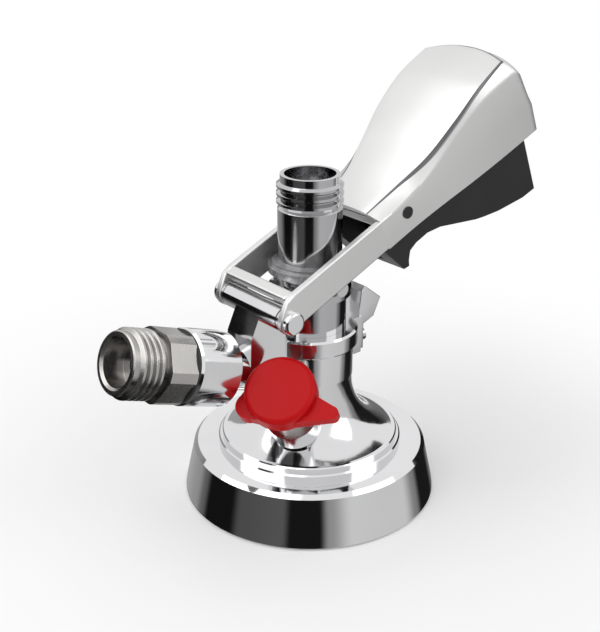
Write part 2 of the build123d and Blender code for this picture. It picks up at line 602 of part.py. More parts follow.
# ---- relief valve --------------------------------------------------------------------------------
HOUSING_FOOT, HOUSING_TOP = 26.4, 12.0
with BuildPart() as relief_housing:
    rod(relief_plane(HOUSING_FOOT), HOUSING_R, HOUSING_FOOT - HOUSING_TOP)
    rod(relief_plane(HOUSING_FOOT - 2.4), 4.4, HOUSING_FOOT - HOUSING_TOP - 4.4, mode=Mode.SUBTRACT)
    rod(relief_plane(HOUSING_FOOT), 2.5, 5, mode=Mode.SUBTRACT)
    rod(relief_plane(HOUSING_TOP + 4), 1.6 + FIT, 6, mode=Mode.SUBTRACT)
finish(relief_housing.part, "relief_housing")

SEAT = HOUSING_FOOT - 2.5
with BuildPart() as relief_seal:
    rod(relief_plane(SEAT), 3.7, 1.3)
finish(relief_seal.part, "relief_seal")

with BuildPart() as relief_stem:
    rod(relief_plane(SEAT - 1.3), 3.9, 1.4)
    rod(relief_plane(SEAT - 2.0), 1.6, SEAT - 2.0 - 3.2)
finish(relief_stem.part, "relief_stem")

with BuildPart() as relief_spring:
    coil(relief_plane(SEAT - 2.75), 3.0, 0.3, SEAT - 2.8 - HOUSING_TOP - 2.0, 4)
finish(relief_spring.part, "relief_spring")

with BuildPart() as relief_knob:
    rod(relief_plane(KNOB_THICKNESS), KNOB_R, KNOB_THICKNESS)
    with BuildSketch(relief_plane(KNOB_THICKNESS)) as wings:
        with BuildLine():
            Polyline((2, 8), (10.0, 1.2), (18.2, -2.4))
            ThreePointArc((18.2, -2.4), (20.2, -4.8), (18.0, -6.9))
            Polyline((18.0, -6.9), (10, -9.0), (2, -11.5), (-8.0, -10.4))
            ThreePointArc((-8.0, -10.4), (-13.4, -8.4), (-13.0, -3.0))
            Polyline((-13.0, -3.0), (-10, 4), (2, 8))
        make_face()
    extrude(wings.sketch, amount=WING_THICKNESS)
    fillet(relief_knob.faces().sort_by(Axis(KNOB_FACE, RELIEF))[-1].edges(), radius=1.8)
    rod(relief_plane(KNOB_THICKNESS + 1), 1.6, KNOB_THICKNESS + 1 - 3.2, mode=Mode.SUBTRACT)
finish(relief_knob.part, "relief_knob")

os.makedirs("parts", exist_ok=True)
for part in finished:
    export_step(part, "parts/" + part.label + ".step")
print(len(finished), "pieces written")
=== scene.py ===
# %% [markdown]
# # A keg coupler in chrome, satin metal, red and black plastic
#
# The coupler is a chromed forging that stands on a wide bell, with a hinged lever over a beer probe. The
# engineering model is loaded as a fixed frame, and the cells below dress it. All lengths are metres, in the
# frame's own axes: Z up through the probe, the handle to +X, the gas inlet to -X.

# %% Load the frame
import bpy, bmesh, json, math
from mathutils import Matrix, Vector


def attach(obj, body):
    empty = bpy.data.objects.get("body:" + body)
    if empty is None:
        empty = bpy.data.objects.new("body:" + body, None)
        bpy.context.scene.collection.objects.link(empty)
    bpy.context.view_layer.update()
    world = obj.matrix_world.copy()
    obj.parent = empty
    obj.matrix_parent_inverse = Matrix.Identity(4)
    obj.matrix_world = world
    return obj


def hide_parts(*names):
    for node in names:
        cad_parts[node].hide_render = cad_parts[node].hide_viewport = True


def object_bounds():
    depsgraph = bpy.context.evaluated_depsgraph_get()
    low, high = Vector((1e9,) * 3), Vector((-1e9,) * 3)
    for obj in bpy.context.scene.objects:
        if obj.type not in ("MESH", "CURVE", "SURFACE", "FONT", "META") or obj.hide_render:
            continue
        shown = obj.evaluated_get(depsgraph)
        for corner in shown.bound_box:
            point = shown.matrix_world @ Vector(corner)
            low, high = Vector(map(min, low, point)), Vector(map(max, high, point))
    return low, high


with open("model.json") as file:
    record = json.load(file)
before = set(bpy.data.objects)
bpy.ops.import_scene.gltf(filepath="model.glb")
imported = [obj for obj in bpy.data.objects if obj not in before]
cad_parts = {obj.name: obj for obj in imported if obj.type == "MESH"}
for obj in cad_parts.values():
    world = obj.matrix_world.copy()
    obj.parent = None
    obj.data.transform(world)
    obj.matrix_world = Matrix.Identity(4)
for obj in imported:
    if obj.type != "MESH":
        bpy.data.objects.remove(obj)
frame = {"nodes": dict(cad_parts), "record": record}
cad_low, cad_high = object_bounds()
nodes = frame["nodes"]
MM = 0.001

# %% [markdown]
# ## Camera, floor and light
# A product shot looks down at a corner of the object, and a longer lens keeps the bell round. The floor is
# pale and the two lamps are large and soft, so that the contact shadow stays faint.

# %% Camera
CAMERA_PLACE = (-225.4 * MM, -261.2 * MM, 215.4 * MM)
CAMERA_TILT, CAMERA_TURN, CAMERA_LENS = 66.64, -40.23, 64.1
camera_data = bpy.data.cameras.new("camera")
camera_data.sensor_fit = "HORIZONTAL"
camera_data.sensor_width = 36.0
camera_data.lens = CAMERA_LENS
camera = bpy.data.objects.new("camera", camera_data)
bpy.context.scene.collection.objects.link(camera)
camera.location = CAMERA_PLACE
camera.rotation_euler = (math.radians(CAMERA_TILT), 0, math.radians(CAMERA_TURN))
bpy.context.scene.camera = camera
bpy.context.scene.view_settings.view_transform = "Standard"
print("camera", round(camera.location.length / MM), "mm from the middle of the base")


# %% World and floor
def new_material(name):
    """A material with a bare Principled shader: the material, its nodes, its links and the shader."""
    material = bpy.data.materials.new(name)
    material.use_nodes = True
    tree = material.node_tree
    return material, tree.nodes, tree.links, tree.nodes["Principled BSDF"]


def seen_directly(tree_nodes, tree_links):
    """A socket that is 1 for camera, glossy and transmission rays, and 0 for the light on the object."""
    path = tree_nodes.new("ShaderNodeLightPath")
    camera_or_gloss = tree_nodes.new("ShaderNodeMath")
    camera_or_gloss.operation = "ADD"
    any_of_them = tree_nodes.new("ShaderNodeMath")
    any_of_them.operation = "ADD"
    any_of_them.use_clamp = True
    tree_links.new(path.outputs["Is Camera Ray"], camera_or_gloss.inputs[0])
    tree_links.new(path.outputs["Is Glossy Ray"], camera_or_gloss.inputs[1])
    tree_links.new(camera_or_gloss.outputs[0], any_of_them.inputs[0])
    tree_links.new(path.outputs["Is Transmission Ray"], any_of_them.inputs[1])
    return any_of_them.outputs[0]


ROOM_LIGHT = 0.72
world = bpy.data.worlds.new("studio")
bpy.context.scene.world = world
world.use_nodes = True
world_nodes, world_links = world.node_tree.nodes, world.node_tree.links
room_light = world_nodes["Background"]
room_light.inputs["Color"].default_value = (1, 1, 1, 1)
room_light.inputs["Strength"].default_value = ROOM_LIGHT
seen_white = world_nodes.new("ShaderNodeBackground")
seen_white.inputs["Color"].default_value = (1, 1, 1, 1)
seen_white.inputs["Strength"].default_value = 1.0
which = world_nodes.new("ShaderNodeMixShader")
world_links.new(seen_directly(world_nodes, world_links), which.inputs["Fac"])
world_links.new(room_light.outputs[0], which.inputs[1])
world_links.new(seen_white.outputs[0], which.inputs[2])
world_links.new(which.outputs[0], world_nodes["World Output"].inputs["Surface"])

FLOOR_RADIUS, FADE_START, FADE_END = 4.0, 0.07, 0.24
floor_mesh = bpy.data.meshes.new("floor")
floor_builder = bmesh.new()
bmesh.ops.create_circle(floor_builder, cap_ends=True, segments=96, radius=FLOOR_RADIUS)
floor_builder.to_mesh(floor_mesh)
floor_builder.free()
floor = bpy.data.objects.new("floor", floor_mesh)
bpy.context.scene.collection.objects.link(floor)
floor_material, floor_nodes, floor_links, floor_shader = new_material("floor_white")
floor_shader.inputs["Base Color"].default_value = (0.93, 0.93, 0.93, 1)
floor_shader.inputs["Roughness"].default_value = 0.8
floor_shader.inputs["Specular IOR Level"].default_value = 0.1
# Away from the coupler the floor fades into the white of the background; near it the shadow stays.
floor_place = floor_nodes.new("ShaderNodeTexCoord")
floor_reach = floor_nodes.new("ShaderNodeVectorMath")
floor_reach.operation = "LENGTH"
floor_fade = floor_nodes.new("ShaderNodeMapRange")
floor_fade.interpolation_type = "SMOOTHSTEP"
floor_fade.inputs["From Min"].default_value = FADE_START
floor_fade.inputs["From Max"].default_value = FADE_END
floor_white = floor_nodes.new("ShaderNodeEmission")
floor_amount = floor_nodes.new("ShaderNodeMath")
floor_amount.operation = "MULTIPLY"
floor_mix = floor_nodes.new("ShaderNodeMixShader")
floor_links.new(floor_place.outputs["Object"], floor_reach.inputs[0])
floor_links.new(floor_reach.outputs["Value"], floor_fade.inputs["Value"])
floor_links.new(floor_fade.outputs[0], floor_amount.inputs[0])
floor_links.new(seen_directly(floor_nodes, floor_links), floor_amount.inputs[1])
floor_links.new(floor_amount.outputs[0], floor_mix.inputs["Fac"])
floor_links.new(floor_shader.outputs[0], floor_mix.inputs[1])
floor_links.new(floor_white.outputs[0], floor_mix.inputs[2])
floor_links.new(floor_mix.outputs[0], floor_nodes["Material Output"].inputs["Surface"])
floor_mesh.materials.append(floor_material)
print("floor", floor.dimensions.x, "m across")

# %% [markdown]
# ## Studio mat
# Polished metal is drawn by what stands around it, and over a white floor the skirt of the bell would
# nearly vanish. So one mat with grey and black bands fans out from the foot of the bell and rises to a low
# wall. Only reflections see it: the camera looks through it and it casts no shadow. The bands lie along the
# directions in which the round skirt throws the main camera's sight lines, and the greys are listed.
# The mat stays put when the camera moves, so from other sides the bands fall elsewhere, and the coupler
# alone has none.

# %% Studio mat
CAMERA_HEADING = math.radians(-130.8)
MAT_LIFT = 0.2 * MM
FOOT_R = 46.6 * MM
MAT_REACH, WALL_HEIGHT = 0.55, 0.20
# Place across the bell as the camera sees it, from -1 at its left edge to 1 at its right, and the grey.
MAT_BANDS = [
    (-1.0, 0.42), (-0.90, 0.34), (-0.84, 0.14), (-0.79, 0.008), (-0.61, 0.008), (-0.53, 0.09), (-0.21, 0.11),
    (-0.14, 0.010), (0.08, 0.010), (0.16, 0.34), (0.34, 0.74), (0.74, 0.70), (0.84, 0.25), (0.885, 0.012),
    (0.97, 0.012), (1.0, 0.2),
]


def mat_grey(place):
    """The grey of the mat at a place across the bell."""
    for (low, first), (high, second) in zip(MAT_BANDS, MAT_BANDS[1:]):
        if place <= high:
            t = (place - low) / (high - low)
            t = t * t * (3 - 2 * t)
            return first * (1 - t) + second * t
    return MAT_BANDS[-1][1]


mat_points, mat_faces, mat_greys = [], [], []
MAT_STEPS = 240
for step in range(MAT_STEPS + 1):
    turn = math.radians(-90 + 180 * step / MAT_STEPS)
    start = Vector((math.cos(CAMERA_HEADING + turn), math.sin(CAMERA_HEADING + turn))) * FOOT_R
    away = Vector((math.cos(CAMERA_HEADING + 2 * turn), math.sin(CAMERA_HEADING + 2 * turn)))
    end = start + away * MAT_REACH
    mat_points += [(start.x, start.y, MAT_LIFT), (end.x, end.y, MAT_LIFT), (end.x, end.y, WALL_HEIGHT)]
    mat_greys += [mat_grey(math.sin(turn))] * 3
    if step:
        one, two = 3 * (step - 1), 3 * step
        mat_faces += [(one, two, two + 1, one + 1), (one + 1, two + 1, two + 2, one + 2)]
mat_mesh = bpy.data.meshes.new("studio_mat")
mat_mesh.from_pydata(mat_points, [], mat_faces)
mat_colours = mat_mesh.color_attributes.new("grey", "FLOAT_COLOR", "POINT")
for point, grey in zip(mat_colours.data, mat_greys):
    point.color = (grey, grey, grey, 1)
mat_material, mat_nodes, mat_links, mat_shader = new_material("studio_mat")
mat_shader.inputs["Base Color"].default_value = (0, 0, 0, 1)
mat_shader.inputs["Specular IOR Level"].default_value = 0
mat_shader.inputs["Emission Strength"].default_value = 1.0
mat_attribute = mat_nodes.new("ShaderNodeVertexColor")
mat_attribute.layer_name = "grey"
mat_links.new(mat_attribute.outputs["Color"], mat_shader.inputs["Emission Color"])
mat_mesh.materials.append(mat_material)
mat = bpy.data.objects.new("studio_mat", mat_mesh)
bpy.context.scene.collection.objects.link(mat)
mat.visible_camera = False
mat.visible_diffuse = False
mat.visible_shadow = False
mat.visible_transmission = False
print("mat faces", len(mat_faces))


# %% Lamps
AIM = Vector((0, 0, 70 * MM))


def lamp(name, place, size, power):
    """A soft square lamp aimed at the middle of the coupler."""
    data = bpy.data.lights.new(name, "AREA")
    data.size, data.energy = size, power
    light = bpy.data.objects.new(name, data)
    bpy.context.scene.collection.objects.link(light)
    light.location = place
    light.rotation_euler = (AIM - Vector(place)).to_track_quat("-Z", "Y").to_euler()


lamp("key", (-0.60, 0.15, 0.85), 1.1, 4.6)
lamp("fill", (0.45, -0.70, 0.60), 0.6, 1.2)

# %% [markdown]
# ## Shared surface effects
# Handled metal and plastic differ in colour but share small faults: faint smudges that dull the shine in
# patches, a fine grain that breaks up reflections, and lighter worn edges. Each effect is a node group
# with its own inputs, so every material sets how much of it shows.


# %% Effect groups
def effect_group(name, inputs, outputs):
    """An empty shader node group with named float inputs and outputs."""
    group = bpy.data.node_groups.new(name, "ShaderNodeTree")
    for label, default in inputs:
        socket = group.interface.new_socket(name=label, in_out="INPUT", socket_type="NodeSocketFloat")
        socket.default_value = default
    for label in outputs:
        group.interface.new_socket(name=label, in_out="OUTPUT", socket_type="NodeSocketFloat")
    return group, group.nodes.new("NodeGroupInput"), group.nodes.new("NodeGroupOutput")


def scaled_noise(group, entry, scale_socket, detail):
    """Object-space noise inside a group, its scale from one of the group's inputs."""
    place = group.nodes.new("ShaderNodeTexCoord")
    noise = group.nodes.new("ShaderNodeTexNoise")
    noise.inputs["Detail"].default_value = detail
    group.links.new(place.outputs["Object"], noise.inputs["Vector"])
    group.links.new(entry.outputs[scale_socket], noise.inputs["Scale"])
    return noise


smudge, smudge_in, smudge_out = effect_group(
    "smudges", [("Scale", 60), ("Low", 0.05), ("High", 0.15)], ["Roughness"])
smudge_noise = scaled_noise(smudge, smudge_in, "Scale", 5)
smudge_range = smudge.nodes.new("ShaderNodeMapRange")
smudge_range.inputs["From Min"].default_value = 0.35
smudge_range.inputs["From Max"].default_value = 0.7
smudge.links.new(smudge_noise.outputs["Fac"], smudge_range.inputs["Value"])
smudge.links.new(smudge_in.outputs["Low"], smudge_range.inputs["To Min"])
smudge.links.new(smudge_in.outputs["High"], smudge_range.inputs["To Max"])
smudge.links.new(smudge_range.outputs[0], smudge_out.inputs["Roughness"])

grain, grain_in, grain_out = effect_group("fine_grain", [("Scale", 1500), ("Amount", 0.5)], ["Height"])
grain_noise = scaled_noise(grain, grain_in, "Scale", 3)
grain_scale = grain.nodes.new("ShaderNodeMath")
grain_scale.operation = "MULTIPLY"
grain.links.new(grain_noise.outputs["Fac"], grain_scale.inputs[0])
grain.links.new(grain_in.outputs["Amount"], grain_scale.inputs[1])
grain.links.new(grain_scale.outputs[0], grain_out.inputs["Height"])

edges, edges_in, edges_out = effect_group("worn_edges", [("Width", 0.0006), ("Strength", 1.0)], ["Mask"])
edge_bevel = edges.nodes.new("ShaderNodeBevel")
edge_bevel.samples = 4
edge_geometry = edges.nodes.new("ShaderNodeNewGeometry")
edge_dot = edges.nodes.new("ShaderNodeVectorMath")
edge_dot.operation = "DOT_PRODUCT"
edge_range = edges.nodes.new("ShaderNodeMapRange")
edge_range.inputs["From Min"].default_value = 0.995
edge_range.inputs["From Max"].default_value = 0.90
edge_strength = edges.nodes.new("ShaderNodeMath")
edge_strength.operation = "MULTIPLY"
edges.links.new(edges_in.outputs["Width"], edge_bevel.inputs["Radius"])
edges.links.new(edge_bevel.outputs[0], edge_dot.inputs[0])
edges.links.new(edge_geometry.outputs["Normal"], edge_dot.inputs[1])
edges.links.new(edge_dot.outputs["Value"], edge_range.inputs["Value"])
edges.links.new(edge_range.outputs[0], edge_strength.inputs[0])
edges.links.new(edges_in.outputs["Strength"], edge_strength.inputs[1])
edges.links.new(edge_strength.outputs[0], edges_out.inputs["Mask"])
print("groups", [group.name for group in bpy.data.node_groups])


# %% [markdown]
# ## Finishes
# Chrome plate is a near-perfect mirror with faint smudges, and on the forged body it is slightly wavy. The
# lever is satin chrome, so its reflections are soft, and its groove takes a darker chrome that is a painted
# dark reflection. The gas fitting is turned nickel, duller and a little warm. The plastics are a red with a
# soft shine, a grained black and a plain white.


# %% Material helper
EDGE_WIDTH = 0.5 * MM
GRAIN_DEPTH = 0.2 * MM


def finish_material(name, colour, metallic, rough, smudge_scale, bump=0.0, grain_scale=1800,
                    edge_colour=None, edge_strength=0.0, tone=0.06, specular=0.5):
    """A finish: colour mottled by tone, roughness from smudges, bump from grain, and lighter edges."""
    material, material_nodes, links, shader = new_material(name)
    place = material_nodes.new("ShaderNodeTexCoord")
    mottle = material_nodes.new("ShaderNodeTexNoise")
    mottle.inputs["Scale"].default_value = smudge_scale * 0.5
    mottle.inputs["Detail"].default_value = 4
    links.new(place.outputs["Object"], mottle.inputs["Vector"])
    blend = material_nodes.new("ShaderNodeMix")
    blend.data_type = "RGBA"
    blend.inputs[6].default_value = tuple(c * (1 - tone) for c in colour) + (1,)
    blend.inputs[7].default_value = tuple(min(1, c * (1 + tone)) for c in colour) + (1,)
    links.new(mottle.outputs["Fac"], blend.inputs["Factor"])
    final_colour = blend.outputs[2]
    if edge_colour:
        worn = material_nodes.new("ShaderNodeGroup")
        worn.node_tree = edges
        worn.inputs["Width"].default_value = EDGE_WIDTH
        worn.inputs["Strength"].default_value = edge_strength
        lighter = material_nodes.new("ShaderNodeMix")
        lighter.data_type = "RGBA"
        links.new(worn.outputs["Mask"], lighter.inputs["Factor"])
        links.new(final_colour, lighter.inputs[6])
        lighter.inputs[7].default_value = edge_colour + (1,)
        final_colour = lighter.outputs[2]
    links.new(final_colour, shader.inputs["Base Color"])
    shader.inputs["Metallic"].default_value = metallic
    shader.inputs["Specular IOR Level"].default_value = specular
    patches = material_nodes.new("ShaderNodeGroup")
    patches.node_tree = smudge
    patches.inputs["Scale"].default_value = smudge_scale
    patches.inputs["Low"].default_value, patches.inputs["High"].default_value = rough
    links.new(patches.outputs["Roughness"], shader.inputs["Roughness"])
    if bump:
        fine = material_nodes.new("ShaderNodeGroup")
        fine.node_tree = grain
        fine.inputs["Scale"].default_value = grain_scale
        fine.inputs["Amount"].default_value = 1.0
        relief = material_nodes.new("ShaderNodeBump")
        relief.inputs["Strength"].default_value = bump
        relief.inputs["Distance"].default_value = GRAIN_DEPTH
        links.new(fine.outputs["Height"], relief.inputs["Height"])
        links.new(relief.outputs["Normal"], shader.inputs["Normal"])
    return material


# %% Metals
chrome = finish_material("chrome_plate", (0.74, 0.74, 0.75), 1.0, (0.035, 0.09), 70)
forged_chrome = finish_material(
    "forged_chrome", (0.72, 0.72, 0.73), 1.0, (0.06, 0.15), 70, bump=0.30, grain_scale=85)
pearl = finish_material(
    "pearl_chrome", (0.71, 0.71, 0.705), 1.0, (0.33, 0.42), 45, bump=0.05, grain_scale=3000,
    edge_colour=(0.93, 0.93, 0.93), edge_strength=0.5)
# A darker chrome for the hood's groove and the rounded end of its top: a painted dark reflection.
painted_reflection_line = finish_material("painted_reflection_line", (0.17, 0.17, 0.175), 1.0, (0.22, 0.32), 60)
probe_chrome = finish_material("probe_chrome", (0.50, 0.50, 0.51), 1.0, (0.07, 0.16), 80)
nickel = finish_material(
    "turned_nickel", (0.43, 0.42, 0.405), 1.0, (0.20, 0.34), 90, bump=0.12, grain_scale=1200,
    edge_colour=(0.75, 0.74, 0.71), edge_strength=0.7)
stainless = finish_material("turned_stainless", (0.62, 0.62, 0.63), 1.0, (0.16, 0.28), 90, bump=0.06)
spring_steel = finish_material("spring_wire", (0.36, 0.36, 0.37), 1.0, (0.25, 0.4), 120)

# %% Rubber and plastics
rubber = finish_material("black_rubber", (0.022, 0.022, 0.023), 0.0, (0.5, 0.66), 80, bump=0.15)
black = finish_material(
    "black_grained_plastic", (0.014, 0.014, 0.015), 0.0, (0.42, 0.56), 60, bump=0.35, grain_scale=1500,
    edge_colour=(0.045, 0.045, 0.047), edge_strength=0.6, specular=0.35)
acetal = finish_material("white_acetal", (0.74, 0.74, 0.71), 0.0, (0.3, 0.42), 70, bump=0.05)
red = finish_material(
    "glossy_red_plastic", (0.47, 0.001, 0.003), 0.0, (0.30, 0.42), 60, bump=0.03,
    edge_colour=(0.66, 0.006, 0.01), edge_strength=0.4, tone=0.05, specular=0.15)
SLOT_MATERIALS = {
    "chrome": chrome, "satin_chrome": pearl, "nickel": nickel, "stainless": stainless,
    "spring_steel": spring_steel, "black_rubber": rubber, "black_plastic": black,
    "white_plastic": acetal, "red_plastic": red,
}
NODE_MATERIALS = {"probe": probe_chrome, "body": forged_chrome, "catch_plate": forged_chrome}
print("finishes", len(SLOT_MATERIALS))

# %% [markdown]
# ## Dress the nodes of the frame
# All pieces of the frame but the lever keep their meshes: pins, screws, seals, springs, rings, body and
# grip. They need a finish, which goes into their material slots.

# %% Give each node its finish
for entry in frame["record"]["subparts"]:
    mesh = nodes[entry["node"]].data
    mesh.materials.clear()
    mesh.materials.append(NODE_MATERIALS.get(entry["node"], SLOT_MATERIALS[entry["material_slot"]]))

# %% [markdown]
# ## Soft edges
# A real edge is never quite sharp. The knob and the catch plate keep the frame's meshes and get a small
# rounding by modifiers: their points are joined first, because a rounding needs whole edges.

# %% Round the edges of two pieces
ROUNDING_SEGMENTS = 3
NODE_EDGE_ANGLE = math.radians(28)
JOIN_DISTANCE = 0.002 * MM


def round_node(name, width):
    """Join the split points of a node, round its sharp edges by a width in mm and smooth its shading."""
    piece = nodes[name]
    joined = piece.modifiers.new("joined", "WELD")
    joined.merge_threshold = JOIN_DISTANCE
    rounding = piece.modifiers.new("rounding", "BEVEL")
    rounding.width = width * MM
    rounding.segments = ROUNDING_SEGMENTS
    rounding.limit_method = "ANGLE"
    rounding.angle_limit = NODE_EDGE_ANGLE
    rounding.use_clamp_overlap = True
    shading = piece.modifiers.new("shading", "WEIGHTED_NORMAL")
    shading.mode = "FACE_AREA"


ROUNDINGS = {"relief_knob": 0.5, "catch_plate": 0.3}
for rounded, width in ROUNDINGS.items():
    round_node(rounded, width)
print("rounded", len(ROUNDINGS))

# %% [markdown]
# ## Sizes of the lever
# The lever is drawn in its own frame: u runs along it from the hinge, w stands square above it, and y is
# across. Its sizes are in millimetres. They follow the frame's lever, but the hood's top is narrower at the
# tip.

# %% Lever frame and helpers
HINGE = Vector((-23.0, 0, 76.3)) * MM
LEVER_ANGLE = math.radians(23.4)
ALONG = Vector((math.cos(LEVER_ANGLE), 0, math.sin(LEVER_ANGLE)))
ABOVE = Vector((-ALONG.z, 0, ALONG.x))
LEVER_LOW = -3.3
ARM_INNER, ARM_OUTER = 15.5, 18.0
HOOD_START, HOOD_END, HOOD_WALL = 46.0, 131.0, 1.8


def on_lever(u, y, w):
    """A point in the lever's frame, in mm, as a place in the model."""
    return HINGE + (ALONG * u + ABOVE * w) * MM + Vector((0, y * MM, 0))


CREASE_ANGLE = math.radians(34)
PLATE_CREASE_ANGLE = math.radians(32)
PIECE_EDGE_ANGLE = math.radians(30)


def finished_mesh(name, builder, crease):
    """Turn a builder into a mesh, smooth but for the edges sharper than the crease angle."""
    mesh = bpy.data.meshes.new(name)
    builder.to_mesh(mesh)
    builder.free()
    mesh.shade_smooth()
    mesh.set_sharp_from_angle(angle=crease)
    return mesh


def add_piece(mesh, body, material, replaced=()):
    """Link a mesh as a piece that rides on a body, carries a finish and may stand for nodes of the frame."""
    piece = bpy.data.objects.new(mesh.name, mesh)
    bpy.context.scene.collection.objects.link(piece)
    mesh.materials.append(material)
    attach(piece, body)
    if replaced:
        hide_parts(*replaced)
    return piece


def add_lever_piece(mesh):
    """Add a satin piece of the lever, which stands for the frame's own lever."""
    return add_piece(mesh, "lever", pearl, ["lever"])


def soften(piece, width):
    """Round the sharp edges of a piece, in mm, and shade it so that its flat faces stay flat."""
    rounding = piece.modifiers.new("rounding", "BEVEL")
    rounding.width = width * MM
    rounding.segments = ROUNDING_SEGMENTS
    rounding.limit_method = "ANGLE"
    rounding.angle_limit = PIECE_EDGE_ANGLE
    shading = piece.modifiers.new("shading", "WEIGHTED_NORMAL")
    shading.keep_sharp = True


print("hinge", tuple(round(c, 4) for c in HINGE))

# %% [markdown]
# ## Hood
# The hood is a thin shell that grows out of the two arms: narrow and flat near the probe, wide and tall at
# the hand. Sections are blended along the lever and carried to a bowed end, and a second sheet inside the
# first gives it a wall. A fine groove runs between the crowned top and the flanks, and a painted dark
# reflection lies in it.

# %% Hood sizes
# Place along the lever, half width at the foot, height of the knee, half width and height of the top.
HOOD_SECTIONS = [
    (46.0, 18.0, 8.3, 11.0, 9.9), (60.0, 18.0, 8.8, 12.5, 12.0), (74.0, 18.7, 12.0, 16.2, 16.0),
    (88.0, 19.8, 17.6, 18.6, 22.0), (104.0, 20.6, 22.6, 18.9, 27.4), (136.0, 21.2, 24.6, 16.6, 31.2),
]


def hood_size(u):
    """The hood's four sizes at a place along the lever, blended smoothly through the sections."""
    count = len(HOOD_SECTIONS)
    at = 0
    while at < count - 2 and u > HOOD_SECTIONS[at + 1][0]:
        at += 1
    one, two = HOOD_SECTIONS[at], HOOD_SECTIONS[at + 1]
    before, after = HOOD_SECTIONS[max(at - 1, 0)], HOOD_SECTIONS[min(at + 2, count - 1)]
    span = two[0] - one[0]
    t = (u - one[0]) / span
    sizes = []
    for k in range(1, 5):
        start_slope = (two[k] - before[k]) / (two[0] - before[0])
        end_slope = (after[k] - one[k]) / (after[0] - one[0])
        sizes.append(
            (2 * t ** 3 - 3 * t ** 2 + 1) * one[k] + (t ** 3 - 2 * t ** 2 + t) * span * start_slope
            + (3 * t ** 2 - 2 * t ** 3) * two[k] + (t ** 3 - t ** 2) * span * end_slope)
    return sizes


# %% Hood section and end
KNEE_SOFTENING = 1.1
CROWN_POINTS = 8
# The length over which the crown and the groove grow to their full depth.
GROWTH = 30
# The groove is widest at one place along the hood and fades towards both ends.
GROOVE_PLACE, GROOVE_SPREAD, GROOVE_LEAST, GROOVE_MORE = 84, 22, 0.35, 1.35
# Steps of the section, counted from the foot, that lie in the groove, and the first one above it.
GROOVE_STEPS = range(7, 11)
TOP_STEP = 11
# How far the end is bowed back at a half width, and rolled back above a height.
END_BOW, END_BOW_HALF = 7, 22
END_ROLL, ROLL_START, ROLL_RISE, ROLL_POWER = 2.4, 8, 12, 2.34


def half_section(u):
    """Points (y, w) of half the hood's section, from the foot over knee and groove to the crown."""
    foot, knee, lid, top = hood_size(u)
    rise = min(1.0, (u - HOOD_START) / GROWTH)
    flank_length = math.hypot(foot - lid, top - knee)
    flank = Vector((lid - foot, top - knee)) / flank_length
    inward = Vector((-abs(flank.y), -abs(flank.x)))
    edge = Vector((lid, top))
    band = GROOVE_LEAST + GROOVE_MORE * math.exp(-((u - GROOVE_PLACE) / GROOVE_SPREAD) ** 2)
    groove = 0.12 + 0.28 * rise
    points = [
        Vector((foot, LEVER_LOW)), Vector((foot, LEVER_LOW + 0.4 * (knee - LEVER_LOW))),
        Vector((foot, knee - 1.2)), Vector((foot - 0.08, knee - 0.55)), Vector((foot, knee)) + flank * 0.35,
        Vector((foot, knee)) + flank * KNEE_SOFTENING, (Vector((foot, knee)) + edge) / 2,
        edge - flank * (0.4 + band),
        edge - flank * (0.2 + band) + inward * groove * 0.5, edge - flank * (0.05 + band) + inward * groove,
        edge - flank * 0.45 + inward * groove, edge - flank * 0.2 + inward * groove * 0.5,
        edge + Vector((-0.1, 0.0)), edge + Vector((-0.6, 0.16)),
    ]
    crown = 0.6 + 0.5 * rise
    for k in range(1, CROWN_POINTS + 1):
        y = (lid - 0.6) * (1 - k / CROWN_POINTS)
        points.append(Vector((y, top + 0.16 + crown * (1 - (y / lid) ** 2))))
    return points


def hood_end(y, w):
    """Where the hood ends along the lever: bowed in plan, and rolled back towards the top."""
    roll = END_ROLL * (max(0.0, w - ROLL_START) / ROLL_RISE) ** ROLL_POWER
    return HOOD_END - END_BOW * (y / END_BOW_HALF) ** 2 - roll


# %% Hood sheet
TOP_LIMIT = cad_high[2] / MM - 0.06
END_ROUNDING = 1.2
# How far each of the two rows that round the end lies inside the last section, and ahead of it.
END_STEPS = ((0.35, 0.85), (END_ROUNDING, END_ROUNDING))
STATIONS, END_ROWS = 56, 10
# The end depends on the point and the point on its place, so each place is settled in a few rounds.
SETTLE_ROUNDS = 4


def below_limit(u, w):
    """Hold the crown to about the height of the frame's lever."""
    return min(w, (TOP_LIMIT - HINGE.z / MM - u * ALONG.z) / ABOVE.z)


hood_builder = bmesh.new()
section_count = len(half_section(60.0))
whole = [(-1, k) for k in range(section_count)] + [(1, k) for k in range(section_count - 2, -1, -1)]
hood_rows = []
for station in range(STATIONS + 1):
    t = station / STATIONS
    row = []
    for side, k in whole:
        u = HOOD_START + t * (HOOD_END - END_ROUNDING - HOOD_START)
        for _ in range(SETTLE_ROUNDS):
            point = half_section(u)[k]
            u = HOOD_START + t * (hood_end(point.x, point.y) - END_ROUNDING - HOOD_START)
        row.append((u, side * point.x, below_limit(u, point.y)))
    hood_rows.append(row)
last_row = hood_rows[-1]
for inset, ahead in END_STEPS:
    row = []
    for u, y, w in last_row:
        reach = math.hypot(y, w - LEVER_LOW)
        shrink = max(0.0, 1 - inset / max(reach, 1))
        row.append((hood_end(y, w) - END_ROUNDING + ahead, y * shrink, LEVER_LOW + (w - LEVER_LOW) * shrink))
    hood_rows.append(row)
start_row = hood_rows[-1]
for k in range(1, END_ROWS):
    shrink = 1 - k / END_ROWS
    row = []
    for u, y, w in start_row:
        y_in, w_in = y * shrink, LEVER_LOW + (w - LEVER_LOW) * shrink
        row.append((hood_end(y_in, w_in), y_in, w_in))
    hood_rows.append(row)
grid = [[hood_builder.verts.new(on_lever(*point)) for point in row] for row in hood_rows]
for here, there in zip(grid, grid[1:]):
    for k in range(len(here) - 1):
        hood_builder.faces.new((here[k], there[k], there[k + 1], here[k + 1]))
tip = hood_builder.verts.new(on_lever(HOOD_END, 0, LEVER_LOW))
